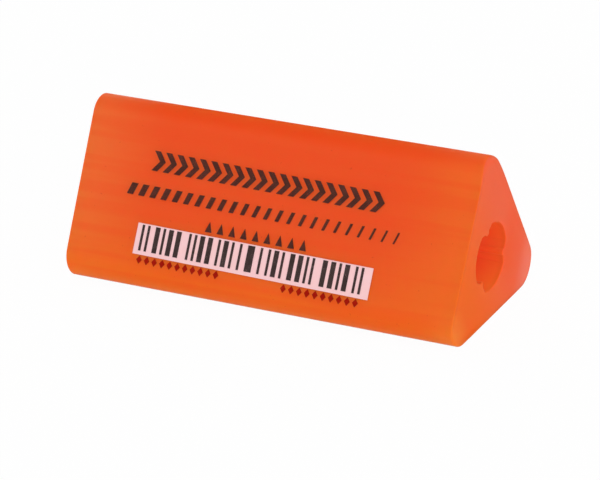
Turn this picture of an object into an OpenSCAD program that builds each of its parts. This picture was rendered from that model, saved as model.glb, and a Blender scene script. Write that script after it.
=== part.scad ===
// Triangular eraser: a soft block with three flat faces, three rounded long edges and a ribbed hole
// right through its length, printed on one face with thin films of ink.
// Sizes are in millimetres. X runs along the block and Z is up. The block lies on one flat face with
// the origin under its middle, and the printed face looks towards -Y and up.

/* [Body] */
// Length from end to end, along the top edge
body_length = 50; // [42:0.5:70]
// Height from the base to the top edge
body_height = 19.5; // [17:0.1:26]
// Radius of the top edge
ridge_radius = 2.35; // [1:0.05:4]
// Radius of the two lower edges
base_radius = 2.8; // [1:0.05:4]
// How far the cut of the +X end leans out at the top, in degrees
end_lean = 1.45; // [0:0.05:4]

/* [Hole] */
// Radius of the round wall of the hole
hole_radius = 3.95; // [3.2:0.05:4.8]
// How far the hole lies off the middle of the block, towards the printed face
hole_offset = 0.4; // [0:0.05:0.8]
// Number of grip ribs along the wall
rib_count = 3; // [2:1:6]
// How far a grip rib stands in from the wall
rib_height = 0.9; // [0.5:0.05:1.3]
// Width of a grip rib where it meets the wall
rib_width = 2.6; // [1:0.05:3]
// Radius of the rounded crest of a grip rib
rib_crest = 0.4; // [0.1:0.05:0.5]
// Turn of the ribs from the directions of the long edges, in degrees
rib_turn = 15; // [0:1:60]

/* [Print] */
// Thickness of one film of ink
ink_thickness = 0.05; // [0.03:0.01:0.1]
// Distance of the middle of the print from the middle of the block, along the block
print_shift = -1.1; // [-3:0.1:3]
// Height of the pale panel above the lower end of the flat of the face
print_margin = 0.6; // [0.4:0.05:1.2]
// Turn of the whole print on its face, in degrees
print_turn = -0.75; // [-1:0.05:1]

/* [Chevron row] */
// Length of the row of chevrons
chevron_row = 29.8; // [24:0.2:36]
// Height of a chevron
chevron_height = 2.3; // [1.6:0.1:3]
// Width of a chevron's stroke along the row
chevron_stroke = 0.75; // [0.4:0.05:0.9]
// How far a chevron's point leads its ends
chevron_lead = 0.9; // [0.4:0.1:1.5]
// Number of chevrons
chevron_count = 20; // [10:1:24]

/* [Stripe row] */
// Length of the row of fading stripes
stripe_row = 34.9; // [28:0.1:38]
// Height of a stripe
stripe_height = 1.35; // [0.8:0.05:2]
// Width of the first and widest stripe
stripe_wide = 0.8; // [0.6:0.05:1.25]
// Width of the last and narrowest stripe
stripe_narrow = 0.2; // [0.15:0.05:0.5]
// How far the top of a stripe leans along the row
stripe_lean = 0.45; // [0:0.05:0.8]
// Number of stripes
stripe_count = 24; // [12:1:26]
// Space between the stripes and the chevrons
stripe_gap = 1.75; // [0.3:0.05:2.5]

/* [Triangle row] */
// Length of the row of small triangles
triangle_row = 13; // [10:0.5:20]
// Height of a small triangle
triangle_height = 1.2; // [0.8:0.05:1.6]
// Width of a small triangle at its base
triangle_base_width = 0.85; // [0.6:0.05:1.3]
// Number of small triangles
triangle_count = 9; // [5:1:9]
// Space between the small triangles and the stripes
triangle_gap = 1.45; // [0.3:0.05:2]

/* [Bar panel] */
// Length of the pale panel
panel_width = 30.3; // [26:0.1:36]
// Height of the pale panel
panel_height = 3.6; // [2.5:0.05:4.5]
// Space between the first bar and the panel's left end
panel_left = 0.65; // [0.2:0.05:1.5]
// Space between the last bar and the panel's right end
panel_right = 1.05; // [0.2:0.05:1.5]
// Space between the bars and the panel's upper edge
panel_top = 0.15; // [0.1:0.05:0.6]
// Space between the bars and the panel's lower edge
panel_bottom = 0.45; // [0.1:0.05:0.6]
// Number of bars on the panel
bar_count = 29; // [15:2:39]
// Width of the narrowest space between bars, in widths of the narrowest bar
space_ratio = 1.5; // [1:0.1:2]
// Space between the panel and the small triangles
panel_gap = 0.4; // [0.15:0.05:1]

/* [Diamond rows] */
// Length of the left row of small diamonds
left_row = 10.8; // [8:0.2:12]
// Number of diamonds in the left row
left_count = 11; // [5:1:12]
// Length of the right row of small diamonds
right_row = 9.8; // [8:0.2:12]
// Number of diamonds in the right row
right_count = 10; // [5:1:11]
// Height of a small diamond
diamond_height = 0.95; // [0.5:0.05:1.1]
// Width of a small diamond
diamond_width = 0.7; // [0.4:0.05:0.9]
// Space between the panel and the diamonds below it
diamond_gap = 0.1; // [0.1:0.05:0.4]

/* [Hidden] */

$fn = 96;
corner_angle = 60;
corner_directions = [90, 210, 330];
corner_radii = [ridge_radius, base_radius, base_radius];
print_direction = 150;

// The section is an equilateral triangle with its corners rounded off
sharp_side = (body_height + ridge_radius) / sin(corner_angle);
centre_height = sharp_side * tan(corner_angle / 2) / 2;
flat_start = base_radius / tan(corner_angle / 2);

// The block is made too long at the +X end, for the cut to take off
end_spare = 1;
cut_size = 4 * body_height;

// A rib narrows from its feet on the wall to its crest, and its root is sunk into the wall
crest_reach = hole_radius - rib_height + rib_crest;
foot_reach = sqrt(pow(hole_radius, 2) - pow(rib_width / 2, 2));
rib_root = rib_width / 2;

// The rows stand on the panel, up to the chevrons, and the diamonds hang below it
diamond_base = -diamond_gap - diamond_height;
triangle_base = panel_height + panel_gap;
stripe_base = triangle_base + triangle_height + triangle_gap;
chevron_base = stripe_base + stripe_height + stripe_gap;
print_height = chevron_base + chevron_height;

// The diamonds run over the start of the rounded edge, so their films reach down to it
edge_depth = 0.25;

// Each row's copies share its length evenly
chevron_pitch = (chevron_row - chevron_stroke - chevron_lead) / (chevron_count - 1);
stripe_pitch = (stripe_row - stripe_narrow - stripe_lean) / (stripe_count - 1);
triangle_pitch = (triangle_row - triangle_base_width) / (triangle_count - 1);

// The bars fill the panel between its margins, in a rhythm that reads the same from both ends
bars_left = -panel_width / 2 + panel_left;
bars_right = panel_width / 2 - panel_right;
bar_shares = [for (i = [0:bar_count - 1]) bar_share(min(i, bar_count - 1 - i))];
space_shares = [for (i = [0:bar_count - 2]) space_share(min(i, bar_count - 2 - i))];
bar_unit = (bars_right - bars_left) / (sum_of(bar_shares, bar_count) + sum_of(space_shares, bar_count - 1));

dark_ink = [0.3, 0.18, 0.15];
pale_ink = [0.97, 0.75, 0.75];
red_ink = [0.63, 0.12, 0.05];
orange_vinyl = [0.93, 0.37, 0.15];

// Width of a bar and of a space, in narrowest bars, by its number from the nearer end
function bar_share(n) = 1 + (n % 3 == 2 ? 1 : 0) + (n % 5 == 4 ? 1 : 0);
function space_share(n) = space_ratio + (n % 4 == 1 ? 1 : 0) + (n % 7 == 5 ? 1 : 0);

// Sum of the first n values of a list
function sum_of(list, n) = n <= 0 ? 0 : list[n - 1] + sum_of(list, n - 1);

function polar(reach, angle) = reach * [cos(angle), sin(angle)];

// Axis of a rounded edge, in the plane of the section
function edge_axis(i) =
    polar(2 * centre_height - corner_radii[i] / sin(corner_angle / 2), corner_directions[i]);

// Section of the block about its centre, in the plane across its length
module block_section() {
    polygon([for (i = [0:2], side = [-corner_angle, corner_angle])
        edge_axis(i) + polar(corner_radii[i], corner_directions[i] + side)]);
    for (i = [0:2])
        translate(edge_axis(i)) circle(corner_radii[i]);
}

// Sweeps a drawing of the section along the block, from its -X end
module along_block(length) {
    translate([-body_length / 2, 0, centre_height])
        rotate([90, 0, 90])
            linear_extrude(length) children();
}

module grip_rib() {
    polygon([[crest_reach, -rib_crest], [foot_reach, -rib_width / 2],
             [hole_radius + rib_root, -rib_width / 2], [hole_radius + rib_root, rib_width / 2],
             [foot_reach, rib_width / 2], [crest_reach, rib_crest]]);
    translate([crest_reach, 0]) circle(rib_crest);
}

module hole_section() {
    translate(polar(hole_offset, print_direction))
        difference() {
            circle(hole_radius);
            for (i = [0:rib_count - 1])
                rotate(corner_directions[0] + rib_turn + i * 360 / rib_count) grip_rib();
        }
}

// What the leaning cut takes off the +X end
module end_cut() {
    translate([body_length / 2, 0, body_height])
        rotate([0, end_lean, 0])
            translate([0, -cut_size / 2, -cut_size / 2])
                cube(cut_size);
}

// Carries a drawing onto the printed face: x along the block from the print's middle,
// y up the face from the panel's lower edge, z out of the face
module on_print_face() {
    translate([0, -sharp_side / 2, 0])
        rotate([corner_angle, 0, 0])
            translate([print_shift, flat_start + print_margin + print_height / 2, 0])
                rotate(print_turn)
                    translate([0, -print_height / 2, 0])
                        children();
}

// A film of ink, on the face itself or on the films below it
module ink_film(films_below = 0) {
    on_print_face()
        translate([0, 0, films_below * ink_thickness])
            linear_extrude(ink_thickness) children();
}

// A film of ink that runs over the end of the flat, its underside cut to the block
module edge_film() {
    difference() {
        on_print_face()
            translate([0, 0, -edge_depth])
                linear_extrude(edge_depth + ink_thickness) children();
        along_block(body_length) block_section();
    }
}

module diamond_run(left, length, count) {
    pitch = (length - diamond_width) / (count - 1);
    for (i = [0:count - 1])
        translate([left + i * pitch, diamond_base])
            polygon([[0, diamond_height / 2], [diamond_width / 2, 0],
                     [diamond_width, diamond_height / 2], [diamond_width / 2, diamond_height]]);
}

module eraser_body() {
    color(orange_vinyl)
        difference() {
            along_block(body_length + end_spare)
                difference() {
                    block_section();
                    hole_section();
                }
            end_cut();
        }
}

module headline_chevrons() {
    color(dark_ink)
        ink_film()
            for (i = [0:chevron_count - 1])
                translate([-chevron_row / 2 + i * chevron_pitch, chevron_base])
                    polygon([[0, 0], [chevron_stroke, 0],
                             [chevron_stroke + chevron_lead, chevron_height / 2],
                             [chevron_stroke, chevron_height], [0, chevron_height],
                             [chevron_lead, chevron_height / 2]]);
}

module fading_stripes() {
    color(dark_ink)
        ink_film()
            for (i = [0:stripe_count - 1]) {
                width = stripe_wide + (stripe_narrow - stripe_wide) * i / (stripe_count - 1);
                translate([-stripe_row / 2 + i * stripe_pitch, stripe_base])
                    polygon([[0, 0], [width, 0], [width + stripe_lean, stripe_height],
                             [stripe_lean, stripe_height]]);
            }
}

module triangle_row_print() {
    color(dark_ink)
        ink_film()
            for (i = [0:triangle_count - 1])
                translate([-triangle_row / 2 + i * triangle_pitch, triangle_base])
                    polygon([[0, 0], [triangle_base_width, 0], [triangle_base_width / 2, triangle_height]]);
}

module panel_film() {
    color(pale_ink)
        ink_film()
            translate([-panel_width / 2, 0]) square([panel_width, panel_height]);
}

module panel_bars() {
    color(dark_ink)
        ink_film(1)
            for (i = [0:bar_count - 1])
                translate([bars_left + bar_unit * (sum_of(bar_shares, i) + sum_of(space_shares, i)),
                           panel_bottom])
                    square([bar_unit * bar_shares[i], panel_height - panel_bottom - panel_top]);
}

module left_diamonds() {
    color(red_ink)
        edge_film() diamond_run(bars_left, left_row, left_count);
}

module right_diamonds() {
    color(red_ink)
        edge_film() diamond_run(bars_right - right_row, right_row, right_count);
}

eraser_body();
headline_chevrons();
fading_stripes();
triangle_row_print();
panel_film();
panel_bars();
left_diamonds();
right_diamonds();
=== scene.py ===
import bpy
import numpy as np
from mathutils import Matrix


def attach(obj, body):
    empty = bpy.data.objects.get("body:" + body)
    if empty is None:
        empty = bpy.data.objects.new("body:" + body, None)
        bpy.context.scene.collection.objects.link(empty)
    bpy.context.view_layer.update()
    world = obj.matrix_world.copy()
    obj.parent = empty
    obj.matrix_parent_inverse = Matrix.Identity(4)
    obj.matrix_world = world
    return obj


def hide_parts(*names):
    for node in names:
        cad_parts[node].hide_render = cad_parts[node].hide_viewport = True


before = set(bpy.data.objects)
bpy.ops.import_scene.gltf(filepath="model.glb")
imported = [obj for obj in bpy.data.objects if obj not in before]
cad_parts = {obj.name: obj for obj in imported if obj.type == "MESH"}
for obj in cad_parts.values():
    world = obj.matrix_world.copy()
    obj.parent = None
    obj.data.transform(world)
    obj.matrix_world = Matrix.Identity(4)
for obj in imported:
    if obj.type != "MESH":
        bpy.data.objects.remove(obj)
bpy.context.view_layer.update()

# Triangular eraser, dressed over its solids. Metres, in the frame of the solids:
# x along the block, z up, the printed face looking towards -y and up.

scene = bpy.context.scene
scene.view_settings.view_transform = "Standard"
print("frame loaded:", sorted(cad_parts))


# camera: a unit view axis from eye to aim, then the frame rolled about that axis
cameraSet = {
    "eye": (0.17104, -0.30355, 0.16942),
    "aim": (0.00076, -0.00087, 0.0056),
    "roll": -3.346,     # degrees, the right side of the frame dips
    "lens": 201.25,     # millimetres
    "sensor": 36,       # millimetres, its width
    "near": 0.01,       # metres, nothing closer is drawn
}


def placeCamera(s):
    eye = np.array(s["eye"])
    ahead = np.array(s["aim"]) - eye
    ahead /= np.linalg.norm(ahead)
    level = np.cross(ahead, (0, 0, 1))
    level /= np.linalg.norm(level)
    upright = np.cross(level, ahead)
    roll = np.radians(s["roll"])
    right = level * np.cos(roll) + upright * np.sin(roll)
    up = np.cross(right, ahead)
    pose = np.eye(4)
    pose[:3] = np.column_stack((right, up, -ahead, eye))
    camera = bpy.data.objects.new("camera", bpy.data.cameras.new("camera"))
    camera.data.lens = s["lens"]
    camera.data.sensor_width = s["sensor"]
    camera.data.clip_start = s["near"]
    camera.matrix_world = Matrix(pose.tolist())
    scene.collection.objects.link(camera)
    scene.camera = camera


placeCamera(cameraSet)
print("camera placed")


# finishes are written in millimetres
perMetre = 1000.0


# shader maths: a wire is one output socket, and an operator on it adds a Math node
class Wire:
    def __init__(self, finish, socket):
        self.finish = finish
        self.socket = socket

    def maths(self, operation, first, second):
        return self.finish.node("ShaderNodeMath", {"operation": operation}, {0: first, 1: second})

    def __add__(self, other):
        return self.maths("ADD", self, other)

    def __radd__(self, other):
        return self.maths("ADD", other, self)

    def __sub__(self, other):
        return self.maths("SUBTRACT", self, other)

    def __rsub__(self, other):
        return self.maths("SUBTRACT", other, self)

    def __mul__(self, other):
        return self.maths("MULTIPLY", self, other)

    def __rmul__(self, other):
        return self.maths("MULTIPLY", other, self)

    def __pow__(self, other):
        return self.maths("POWER", self, other)

    def __abs__(self):
        return self.maths("ABSOLUTE", self, 0)


class Finish:
    def __init__(self, tree):
        self.tree = tree
        tree.nodes.clear()

    # settings come first, because some of them change the sockets;
    # a tuple of outputs gives a list of wires
    def node(self, kind, settings=None, sockets=None, out=0):
        made = self.tree.nodes.new(kind)
        for name, value in (settings or {}).items():
            setattr(made, name, value)
        for key, value in (sockets or {}).items():
            if isinstance(value, Wire):
                self.tree.links.new(value.socket, made.inputs[key])
            else:
                made.inputs[key].default_value = value
        if isinstance(out, tuple):
            return [Wire(self, made.outputs[name]) for name in out]
        return Wire(self, made.outputs[out]) if made.outputs else made

    # place on the piece, in millimetres
    def place(self):
        where = self.node("ShaderNodeTexCoord", out="Object")
        return self.node("ShaderNodeVectorMath", {"operation": "SCALE"}, {0: where, "Scale": perMetre})

    # 0 below low, 1 above high, smooth between them
    def step(self, value, low, high):
        return self.node("ShaderNodeMapRange", {"interpolation_type": "SMOOTHSTEP"},
                         {"Value": value, "From Min": low, "From Max": high})

    # noise from 0 to 1, with its grain stretched by the three factors of stretch
    def noise(self, where, stretch, detail=2.0, rough=0.5):
        at = self.node("ShaderNodeVectorMath", {"operation": "MULTIPLY"}, {0: where, 1: stretch})
        return self.node("ShaderNodeTexNoise", None,
                         {"Vector": at, "Scale": 1.0, "Detail": detail, "Roughness": rough})

    # first colour where amount is 0, second where it is 1; sockets 6 and 7 and output 2 are for colours
    def mix(self, amount, first, second, blend="MIX"):
        return self.node("ShaderNodeMix", {"data_type": "RGBA", "blend_type": blend},
                         {0: amount, 6: first, 7: second}, out=2)

    # relief of the surface, with its depth in metres
    def bump(self, height, strength, depth):
        return self.node("ShaderNodeBump", None,
                         {"Height": height, "Strength": strength, "Distance": depth})

    def output(self, shader, kind="ShaderNodeOutputMaterial"):
        self.node(kind, None, {"Surface": shader})


def newMaterial(name):
    material = bpy.data.materials.new(name)
    material.use_nodes = True
    return material, Finish(material.node_tree)


# the block: at every angle a loop runs over the outer side, round the rim, down the end face,
# into the mouth, back along the hole's wall and out over the other end
blockSet = {
    "length": 0.05,
    "height": 0.0195,
    "ridgeRadius": 0.00235,
    "baseRadius": 0.0028,
    "lean": 1.45,               # degrees, the +x end leans out at the top
    "holeRadius": 0.00395,
    "holeOffset": 0.0004,       # from the middle towards the printed face
    "ribHeight": 0.0009,
    "ribWidth": 0.0026,
    "ribCrest": 0.0004,
    "ribTurn": 15,              # degrees from the direction of the top edge
    "rim": 0.00005,             # rounding of the cut ends along the flats
    "wornLeft": (0.00007, 0.00007),     # more of it at the -x end's top corner, and at its low ones
    "wornRight": (0.0008, 0.0002),      # the same at the +x end
    "wornSpread": 10,           # degrees about a corner
    "mouth": 0.00012,           # rounding of the hole's mouths
    "around": 480,
    "along": 48,
    "across": 14,
    "inside": 32,
    "turns": 7,                 # steps over each rounding
}
flatReach = (blockSet["height"] + blockSet["ridgeRadius"]) / 3
holeAt = (-blockSet["holeOffset"] * np.sin(np.pi / 3), flatReach + blockSet["holeOffset"] / 2)
endSlope = np.tan(np.radians(blockSet["lean"]))


# angle to the nearest of three directions, from -60 to 60 degrees
def foldThree(angle, first):
    third = 2 * np.pi / 3
    return (angle - np.radians(first) + third / 2) % third - third / 2


# the value that holds at an angle: one about the top edge, the other about the two low edges
def byEdge(angle, top, low):
    return np.where(np.sin(angle) > np.sin(np.pi / 6), top, low)


# distance from the block's middle to the rounded triangle drawn in by inset:
# a circle about the edge's axis near a corner, a straight flat elsewhere
def outerReach(angle, inset, s):
    edgeRadius = byEdge(angle, s["ridgeRadius"], s["baseRadius"])
    edgeAxis = 2 * (flatReach - edgeRadius)
    radius = edgeRadius - inset
    turn = np.abs(foldThree(angle, 90))
    meet = np.arctan2(radius * np.sin(np.pi / 3), edgeAxis + radius / 2)
    beyondAxis = np.sqrt(np.maximum(radius ** 2 - (edgeAxis * np.sin(turn)) ** 2, 0))
    onArc = edgeAxis * np.cos(turn) + beyondAxis
    onFlat = (flatReach - inset) / np.cos(np.pi / 3 - turn)
    return np.where(turn < meet, onArc, onFlat)


# distance from the hole's axis to its wall: a circle, with three ribs whose straight flanks
# run from their feet on the wall in to a rounded crest. tiny keeps the division finite
def innerReach(angle, s, tiny=1e-12):
    turn = np.abs(foldThree(angle, 90 + s["ribTurn"]))
    crest = s["holeRadius"] - s["ribHeight"] + s["ribCrest"]
    foot = np.sqrt(s["holeRadius"] ** 2 - (s["ribWidth"] / 2) ** 2)
    slope = (s["ribWidth"] / 2 - s["ribCrest"]) / (foot - crest)
    flank = (s["ribCrest"] - slope * crest) / (np.sin(turn) - slope * np.cos(turn) + tiny)
    flank = np.where((flank > crest) & (flank < s["holeRadius"]), flank, s["holeRadius"])
    aside = crest * np.sin(turn)
    tip = crest * np.cos(turn) - np.sqrt(np.maximum(s["ribCrest"] ** 2 - aside ** 2, 0))
    return np.where(aside < s["ribCrest"], tip, flank)


# rings of points (y, z): the outline drawn in by inset, and the hole's wall widened by grow
def outerRing(angle, inset, s):
    reach = outerReach(angle, inset, s)
    return reach * np.cos(angle), flatReach + reach * np.sin(angle)


def innerRing(angle, grow, s):
    reach = innerReach(angle, s) + grow
    return holeAt[0] + reach * np.cos(angle), holeAt[1] + reach * np.sin(angle)


# an end as rows of (recess, y, z, facing): rim, end face and mouth, from the outer side inwards.
# rim and mouth are quarter circles, and the rim is wider by worn near a corner.
# facing is how far the surface looks along x, from 0 on the sides to 1 on the end face
def endRows(angle, worn, s):
    nearCorner = np.exp(-(foldThree(angle, 90) / np.radians(s["wornSpread"])) ** 2)
    rim = s["rim"] + byEdge(angle, *worn) * nearCorner
    turn = np.linspace(0, np.pi / 2, s["turns"] + 1)[:, None]
    rimIn = rim * (1 - np.sin(turn))
    mouthIn = s["mouth"] * (1 - np.cos(turn)) + 0 * angle
    rimY, rimZ = outerRing(angle, rim * (1 - np.cos(turn)), s)
    mouthY, mouthZ = innerRing(angle, s["mouth"] * (1 - np.sin(turn)), s)
    share = (1 - np.cos(np.linspace(0, np.pi, s["across"])[1:-1, None])) / 2
    faceY = rimY[-1] + (mouthY[0] - rimY[-1]) * share
    faceZ = rimZ[-1] + (mouthZ[0] - rimZ[-1]) * share
    recess = np.vstack((rimIn, 0 * faceY, mouthIn))
    facing = np.vstack((np.sin(turn) + 0 * angle, 0 * faceY + 1, np.cos(turn) + 0 * angle))
    return recess, np.vstack((rimY, faceY, mouthY)), np.vstack((rimZ, faceZ, mouthZ)), facing


def makeBlock(s):
    angle = np.linspace(0, 2 * np.pi, s["around"], endpoint=False)
    leftIn, leftY, leftZ, leftFacing = endRows(angle, s["wornLeft"], s)
    rightIn, rightY, rightZ, rightFacing = endRows(angle, s["wornRight"], s)
    leftX = leftIn - s["length"] / 2
    rightX = s["length"] / 2 - endSlope * (s["height"] - rightZ) - rightIn
    # rows run closer together towards the ends, so that the rims stay crisp
    along = (1 + np.sin(np.linspace(-np.pi / 2, np.pi / 2, s["along"])[1:-1, None])) / 2
    inside = (1 + np.sin(np.linspace(-np.pi / 2, np.pi / 2, s["inside"])[1:-1, None])) / 2
    sideX = leftX[0] + (rightX[0] - leftX[0]) * along
    sideY, sideZ = outerRing(angle, 0 * along, s)
    wallX = rightX[-1] + (leftX[-1] - rightX[-1]) * inside
    wallY, wallZ = innerRing(angle, 0 * inside, s)
    x = np.vstack((sideX, rightX, wallX, leftX[::-1]))
    y = np.vstack((sideY, rightY, wallY, leftY[::-1]))
    z = np.vstack((sideZ, rightZ, wallZ, leftZ[::-1]))
    points = np.stack((x, y, z), -1)
    facing = np.vstack((0 * sideX, rightFacing, 0 * wallX, leftFacing[::-1]))

    rows, columns = x.shape
    index = np.arange(rows * columns).reshape(rows, columns)
    nextRow = np.roll(index, -1, 0)
    # corners in the order that makes the faces look outwards
    quads = np.stack((index, np.roll(index, -1, 1), np.roll(nextRow, -1, 1), nextRow), -1)
    quads = quads.reshape(-1, 4)
    mesh = bpy.data.meshes.new("block")
    mesh.from_pydata(points.reshape(-1, 3).tolist(), [], quads.tolist())
    mesh.polygons.foreach_set("use_smooth", np.ones(len(quads), bool))
    mesh.attributes.new("facing", "FLOAT", "POINT").data.foreach_set("value", facing.ravel())
    mesh.update()
    block = bpy.data.objects.new("eraser_block", mesh)
    scene.collection.objects.link(block)
    return block


# vinyl of the block: translucent orange, streaked along its length by the extruder, with painted light
# where light leaks in at the ends and below, a painted sheen and highlight on the paler cut end faces,
# and painted shade on the top edge, at the cut edges, beside the hole and in it
vinylSet = {
    "colour": (0.89, 0.103, 0.0195, 1),
    "leftPaintedLight": (0.91, 0.180, 0.037, 1),    # painted light towards the -x end
    "rightPaintedLight": (0.91, 0.166, 0.021, 1),   # painted light towards the +x end
    "lowPaintedLight": (0.90, 0.184, 0.016, 1),     # painted light towards the base
    "cornerPaintedLight": (0.90, 0.215, 0.030, 1),  # painted light at the low front corner of the +x end
    "shadeAndStreak": (0.90, 0.083, 0.013, 1),        # painted shade on the top edge, and the darker colour of the streaks
    "speck": (0.5, 0.04, 0.01, 1),
    "cut": (0.89, 0.132, 0.013, 1),         # end faces, away from the painted sheen
    "paintedSheen": (0.89, 0.128, 0.057, 1),       # painted sheen on the end faces, whiter towards the rear
    "haze": (0.90, 0.185, 0.115, 1),        # painted highlight at the rear corner of the +x end face
    "holeShadeTint": (1.0, 0.80, 0.58, 1),     # painted shade on the end faces, redder on the rear side of the hole
    "edgeShadeTint": (0.93, 1.0, 1.0, 1),        # painted shade along the edges of the cut, dimming their bright rim
    # painted shade: the hole's wall darker than the vinyl outside
    "hole": (0.50, 0.069, 0.010, 1),
    "glow": (0.36, 0.043, 0.010, 1),        # painted light: emission for the light that comes through to the hole
    "depthShadeTint": (1.0, 0.67, 0.92, 1),      # of both, painted shade far into the hole
    "lowLightTint": (1.0, 1.33, 1.05, 1),        # of both, painted light along the bottom of the hole
    "lipTint": (0.7, 0.9, 0.9, 1),          # of the painted glow, at the mouth and less on the ribs
    # shares of the colours and of the relief
    "ridgeShadeShare": 0.8,
    "ridgeFade": 0.5,                       # less of it near the ends
    "streakShare": 0.26,
    "speckShare": 0.3,
    "ribShare": 0.5,
    "cloudShare": (0.8, 0.4),               # of the painted light: the least, and what clouds add
    "streakRelief": 0.6,
    "grainRelief": 0.25,
    "knifeRelief": 0.8,
    # surface
    "roughness": 0.5,
    "cutRoughness": 0.1,
    "cloudRoughness": 0.08,
    "ior": 1.5,
    "specular": 0.06,                       # less on the top edge, which is rubbed dull
    "scatter": 0.001,                       # metres, for the reddest light
    "scatterShare": (1.0, 0.35, 0.15),
    "bump": 0.25,
    "bumpDepth": 0.00005,                   # metres
    "cutFacing": (0.35, 0.65),              # where the look of the cut starts, and where it is full
    # places and bands, in millimetres
    "paintedLightDepth": (-2.0, 12.0),
    "ridgeBand": (18.1, 19.4),
    "cornerAt": (25.0, -11.5, 1.0),
    "cornerReach": (0.5, 5.5),
    "sheenBand": (-5.0, 10.5),
    "sheenSlope": 0.5,                      # millimetres per millimetre of height
    "hazeBand": (4.5, 8.5),
    "hazeSlope": 0.5,
    "besideBand": (-1.0, 4.0),
    "besideSlope": 0.7,
    "besideHeight": 6.0,
    "besideReach": 6.0,
    "edgeReach": (2.0, 0.8),                # along the sides, and over the end faces
    "wallBand": (-0.05, 0.15),
    "ribBand": (-0.8, -0.2),
    "lipReach": 0.8,
    "deepReach": 4.0,
    "lowBand": (3.4, 5.2),
    # grains, in waves per millimetre, and the bands of the noise that show
    "streakGrain": (0.03, 0.9, 0.9),
    "cloudGrain": (0.16, 0.3, 0.3),
    "speckGrain": (2.6, 2.6, 2.6),
    "knifeGrain": (1.0, 0.7, 7.0),
    "fineGrain": (9.0, 9.0, 9.0),
    "streakBand": (0.4, 0.7),
    "speckBand": (0.74, 0.8),
}


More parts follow.
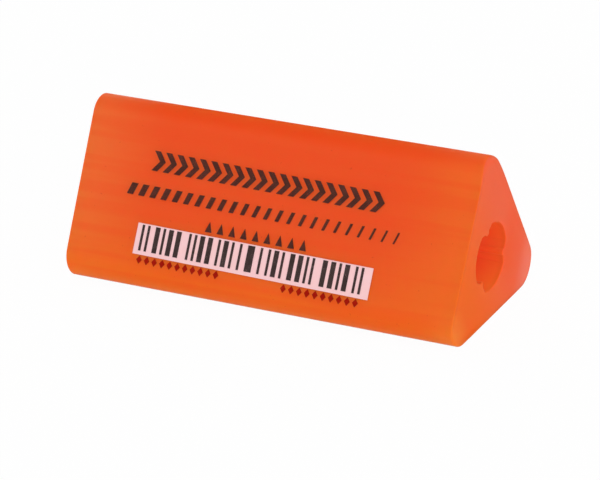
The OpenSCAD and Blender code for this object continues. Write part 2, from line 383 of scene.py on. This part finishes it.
# s is the vinyl's settings, b the block's
def vinylMaterial(s, b):
    material, f = newMaterial("vinyl_orange")
    half, top, flat = (perMetre * v for v in (b["length"] / 2, b["height"], flatReach))
    holeY, holeZ = (perMetre * v for v in holeAt)
    holeRadius = perMetre * b["holeRadius"]
    where = f.place()
    x, y, z = f.node("ShaderNodeSeparateXYZ", None, {0: where}, ("X", "Y", "Z"))
    # distances inwards from the nearer end, and from the nearest flat
    fromEnd = x.maths("MINIMUM", x + half, half - endSlope * (top - z) - x)
    upper = np.cos(np.pi / 3) * (z - flat) + np.sin(np.pi / 3) * abs(y)
    fromFlat = flat - upper.maths("MAXIMUM", upper, flat - z)
    fromAxis = ((y - holeY) ** 2.0 + (z - holeZ) ** 2.0) ** 0.5

    # painted light: yellower towards the ends and the base, for light that leaks in through the vinyl
    endPaintedLight = 1 - f.step(fromEnd, *s["paintedLightDepth"])
    lowPaintedLight = 1 - f.step(z, *s["paintedLightDepth"])
    ridge = f.step(z, *s["ridgeBand"]) * (1 - s["ridgeFade"] * endPaintedLight)
    facing = f.node("ShaderNodeAttribute", {"attribute_name": "facing"}, out="Fac")
    onCut = f.step(facing, *s["cutFacing"])
    sideReach, faceReach = s["edgeReach"]
    cutEdgeShade = (1 - f.step(fromEnd, 0.0, sideReach)) * (1 - f.step(fromFlat, 0.0, faceReach))
    sheenWay = f.step(y + s["sheenSlope"] * z, *s["sheenBand"])
    rightEnd = f.step(x, -half / 2, half / 2)
    highlightCorner = f.step(y - s["hazeSlope"] * z, *s["hazeBand"]) * rightEnd
    fromCorner = f.node("ShaderNodeVectorMath", {"operation": "DISTANCE"},
                        {0: where, 1: s["cornerAt"]}, "Value")
    cornerLightMask = 1 - f.step(fromCorner, *s["cornerReach"])
    fromWall = fromAxis - holeRadius
    inHole = (1 - f.step(fromWall, *s["wallBand"])) * (1 - onCut)
    onRib = s["ribShare"] * (1 - f.step(fromWall, *s["ribBand"]))
    onLip = 1 - f.step(fromEnd, 0.0, s["lipReach"]) * (1 - onRib)
    farInShade = f.step(fromEnd, 0.0, s["deepReach"])
    holeFloorLight = 1 - f.step(z, *s["lowBand"])
    # painted shade: redder beside the hole on the end faces, where the hole keeps scattered light from
    # reaching
    rearSide = f.step(y - s["besideSlope"] * abs(z - s["besideHeight"]), *s["besideBand"])
    besideHoleShade = rearSide * (1 - f.step(fromWall, 0.0, s["besideReach"]))

    streak = f.noise(where, s["streakGrain"])
    cloud = f.noise(where, s["cloudGrain"])
    speckle = f.step(f.noise(where, s["speckGrain"], detail=1.0), *s["speckBand"])
    leastCloud, addedCloud = s["cloudShare"]
    cloudy = leastCloud + addedCloud * cloud

    paintedLeakLight = f.mix(rightEnd, s["leftPaintedLight"], s["rightPaintedLight"])
    colour = f.mix(endPaintedLight * cloudy, s["colour"], paintedLeakLight)
    colour = f.mix(lowPaintedLight * cloudy, colour, s["lowPaintedLight"])
    # painted shade: the top edge darker, where less light falls on it; the streaks below are the
    # vinyl's own
    colour = f.mix(ridge * s["ridgeShadeShare"], colour, s["shadeAndStreak"])
    colour = f.mix(f.step(streak, *s["streakBand"]) * s["streakShare"], colour, s["shadeAndStreak"])
    colour = f.mix(speckle * s["speckShare"], colour, s["speck"])
    # painted sheen: the end faces whiter and pinker towards the rear, for a reflection of the bright
    # surround
    face = f.mix(sheenWay, s["cut"], s["paintedSheen"])
    # painted highlight: whitish at the rear corner of the +x end face
    face = f.mix(highlightCorner, face, s["haze"])
    face = f.mix(besideHoleShade, face, s["holeShadeTint"], "MULTIPLY")
    colour = f.mix(onCut, colour, face)
    # painted light at the low front corner of the +x end
    colour = f.mix(cornerLightMask, colour, s["cornerPaintedLight"])
    # painted shade: the edges of the cut a little less red, to dim the light they catch
    colour = f.mix(cutEdgeShade, colour, s["edgeShadeTint"], "MULTIPLY")
    # painted shade and light in the hole: a darker wall, darker still far in, lighter along its bottom,
    # with an emitted glow
    hole, glow = (f.mix(farInShade, s[name], s["depthShadeTint"], "MULTIPLY") for name in ("hole", "glow"))
    hole, glow = (f.mix(holeFloorLight, shade, s["lowLightTint"], "MULTIPLY") for shade in (hole, glow))
    glow = f.mix(onLip, glow, s["lipTint"], "MULTIPLY")
    colour = f.mix(inHole, colour, hole)

    grain = f.noise(where, s["fineGrain"], detail=3.0)
    knife = f.noise(where, s["knifeGrain"])
    relief = streak * s["streakRelief"] + grain * s["grainRelief"] + onCut * knife * s["knifeRelief"]
    uneven = s["cutRoughness"] * onCut + s["cloudRoughness"] * (cloud - 0.5)
    shader = f.node("ShaderNodeBsdfPrincipled", {"subsurface_method": "RANDOM_WALK"}, {
        "Base Color": colour,
        "Roughness": s["roughness"] + uneven,
        "IOR": s["ior"],
        "Specular IOR Level": s["specular"] * (1 - ridge),
        "Subsurface Weight": 1.0,
        "Subsurface Radius": s["scatterShare"],
        "Subsurface Scale": s["scatter"],
        # painted light: the glow in the hole is emitted
        "Emission Color": f.mix(inHole, (0, 0, 0, 1), glow),
        "Emission Strength": 1.0,
        "Normal": f.bump(relief, s["bump"], s["bumpDepth"]),
    })
    f.output(shader)
    return material


block = makeBlock(blockSet)
block.data.materials.append(vinylMaterial(vinylSet, blockSet))
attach(block, "root")
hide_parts("eraser_body")
print("block made:", len(block.data.polygons), "faces")


# print: each film of ink keeps its solid and takes an ink of its own,
# a flat colour broken by pinholes and thin patches, where the layer below shows through
inkSet = {
    "roughness": 0.5,
    "pinholeRoughness": 0.15,
    "ior": 1.45,
    "specular": 0.06,
    "bump": 0.3,
    "bumpDepth": 0.00001,   # metres
    "thinGrain": 1.1,       # waves per millimetre
    "thinBand": (0.35, 0.7),
    "thinPull": 0.18,       # more pinholes where the ink is thin
    "gritRough": 0.6,
    "pinholeBand": 0.12,
}
inkSets = {
    "ink_dark": {
        "nodes": ("headline_chevrons", "fading_stripes", "triangle_row_print"),
        "colour": (0.070, 0.022, 0.016, 1),
        "patch": (0.090, 0.030, 0.022, 1),
        "under": (0.40, 0.05, 0.015, 1),
        "gritGrain": 7.0,
        "pinholesFrom": 0.6,
        "through": 0.6,
    },
    "ink_bars": {
        "nodes": ("panel_bars",),
        "colour": (0.046, 0.030, 0.028, 1),
        "patch": (0.060, 0.040, 0.038, 1),
        "under": (0.35, 0.2, 0.2, 1),
        "gritGrain": 7.0,
        "pinholesFrom": 0.62,
        "through": 0.5,
    },
    "ink_pale": {
        "nodes": ("panel_film",),
        "colour": (1.0, 0.64, 0.655, 1),
        "patch": (1.0, 0.62, 0.625, 1),
        "under": (0.88, 0.3, 0.25, 1),
        "gritGrain": 5.0,
        "pinholesFrom": 0.68,
        "through": 0.5,
    },
    "ink_red": {
        "nodes": ("left_diamonds", "right_diamonds"),
        "colour": (0.34, 0.006, 0.001, 1),
        "patch": (0.40, 0.010, 0.002, 1),
        "under": (0.7, 0.06, 0.010, 1),
        "gritGrain": 6.0,
        "pinholesFrom": 0.62,
        "through": 0.6,
    },
}


# s is what all inks share, own is what this one has to itself
def inkMaterial(name, s, own):
    material, f = newMaterial(name)
    where = f.place()
    thin = f.noise(where, (s["thinGrain"],) * 3)
    grit = f.noise(where, (own["gritGrain"],) * 3, rough=s["gritRough"])
    low = own["pinholesFrom"]
    pinholes = f.step(grit + s["thinPull"] * (thin - 0.5), low, low + s["pinholeBand"])
    colour = f.mix(f.step(thin, *s["thinBand"]), own["colour"], own["patch"])
    colour = f.mix(pinholes * own["through"], colour, own["under"])
    shader = f.node("ShaderNodeBsdfPrincipled", None, {
        "Base Color": colour,
        "Roughness": s["roughness"] + s["pinholeRoughness"] * pinholes,
        "IOR": s["ior"],
        "Specular IOR Level": s["specular"],
        "Normal": f.bump(grit, s["bump"], s["bumpDepth"]),
    })
    f.output(shader)
    return material


for inkName, ownSet in inkSets.items():
    ink = inkMaterial(inkName, inkSet, ownSet)
    for node in ownSet["nodes"]:
        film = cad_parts[node]
        film.data.materials.clear()
        film.data.materials.append(ink)
print("inks laid:", len(inkSets))


# studio: a pale floor and a white surround, with soft lamps in front and one behind
studioSet = {
    "floorReach": 3.0,
    "floorDrop": 0.00005,
    "floorColour": (0.97, 0.97, 0.97, 1),
    "floorWhite": 0.97,           # how far the floor is lifted to white for the camera
    "surround": 0.5,              # light from all round
    "lamps": (
        {"name": "front", "place": (1.08, -1.22, 0.72), "size": 1.2, "watts": 13.7},
        {"name": "right", "place": (0.8, 0.1, 0.4), "size": 0.6, "watts": 0.5},
        {"name": "top", "place": (0.0, -0.1, 0.8), "size": 0.6, "watts": 0.6},
        {"name": "rear", "place": (-1.15, 1.1, 0.4), "size": 1.2, "watts": 7.5},
    ),
}


# rays that look straight at the background, or mirror it
def seenRays(f):
    camera, glossy, through = f.node("ShaderNodeLightPath",
                                     out=("Is Camera Ray", "Is Glossy Ray", "Is Transmission Ray"))
    return f.node("ShaderNodeMath", {"operation": "ADD", "use_clamp": True},
                  {0: camera + glossy, 1: through})


def makeFloor(s):
    edge = s["floorReach"] * np.array(((-1, -1), (1, -1), (1, 1), (-1, 1)))
    corners = np.column_stack((edge, np.full(4, -s["floorDrop"])))
    mesh = bpy.data.meshes.new("floor")
    mesh.from_pydata(corners.tolist(), [], [(0, 1, 2, 3)])
    floor = bpy.data.objects.new("floor", mesh)
    scene.collection.objects.link(floor)
    material, f = newMaterial("floor_pale")
    matte = f.node("ShaderNodeBsdfDiffuse", None, {"Color": s["floorColour"]})
    white = f.node("ShaderNodeEmission", None, {"Strength": 1.0})
    lifted = seenRays(f) * s["floorWhite"]
    f.output(f.node("ShaderNodeMixShader", None, {0: lifted, 1: matte, 2: white}))
    mesh.materials.append(material)


def makeSurround(s):
    world = bpy.data.worlds.new("surround")
    world.use_nodes = True
    scene.world = world
    f = Finish(world.node_tree)
    strength = s["surround"] + (1 - s["surround"]) * seenRays(f)
    light = f.node("ShaderNodeBackground", None, {"Color": (1, 1, 1, 1), "Strength": strength})
    f.output(light, "ShaderNodeOutputWorld")


def makeLamp(s):
    lamp = bpy.data.lights.new(s["name"], "AREA")
    lamp.energy = s["watts"]
    lamp.size = s["size"]
    holder = bpy.data.objects.new("lamp_" + s["name"], lamp)
    place = np.array(s["place"])
    back = place / np.linalg.norm(place)
    side = np.cross((0, 0, 1), back)
    side /= np.linalg.norm(side)
    pose = np.eye(4)
    pose[:3] = np.column_stack((side, np.cross(back, side), back, place))
    holder.matrix_world = Matrix(pose.tolist())
    scene.collection.objects.link(holder)


makeFloor(studioSet)
makeSurround(studioSet)
for lampSet in studioSet["lamps"]:
    makeLamp(lampSet)
print("studio lit")
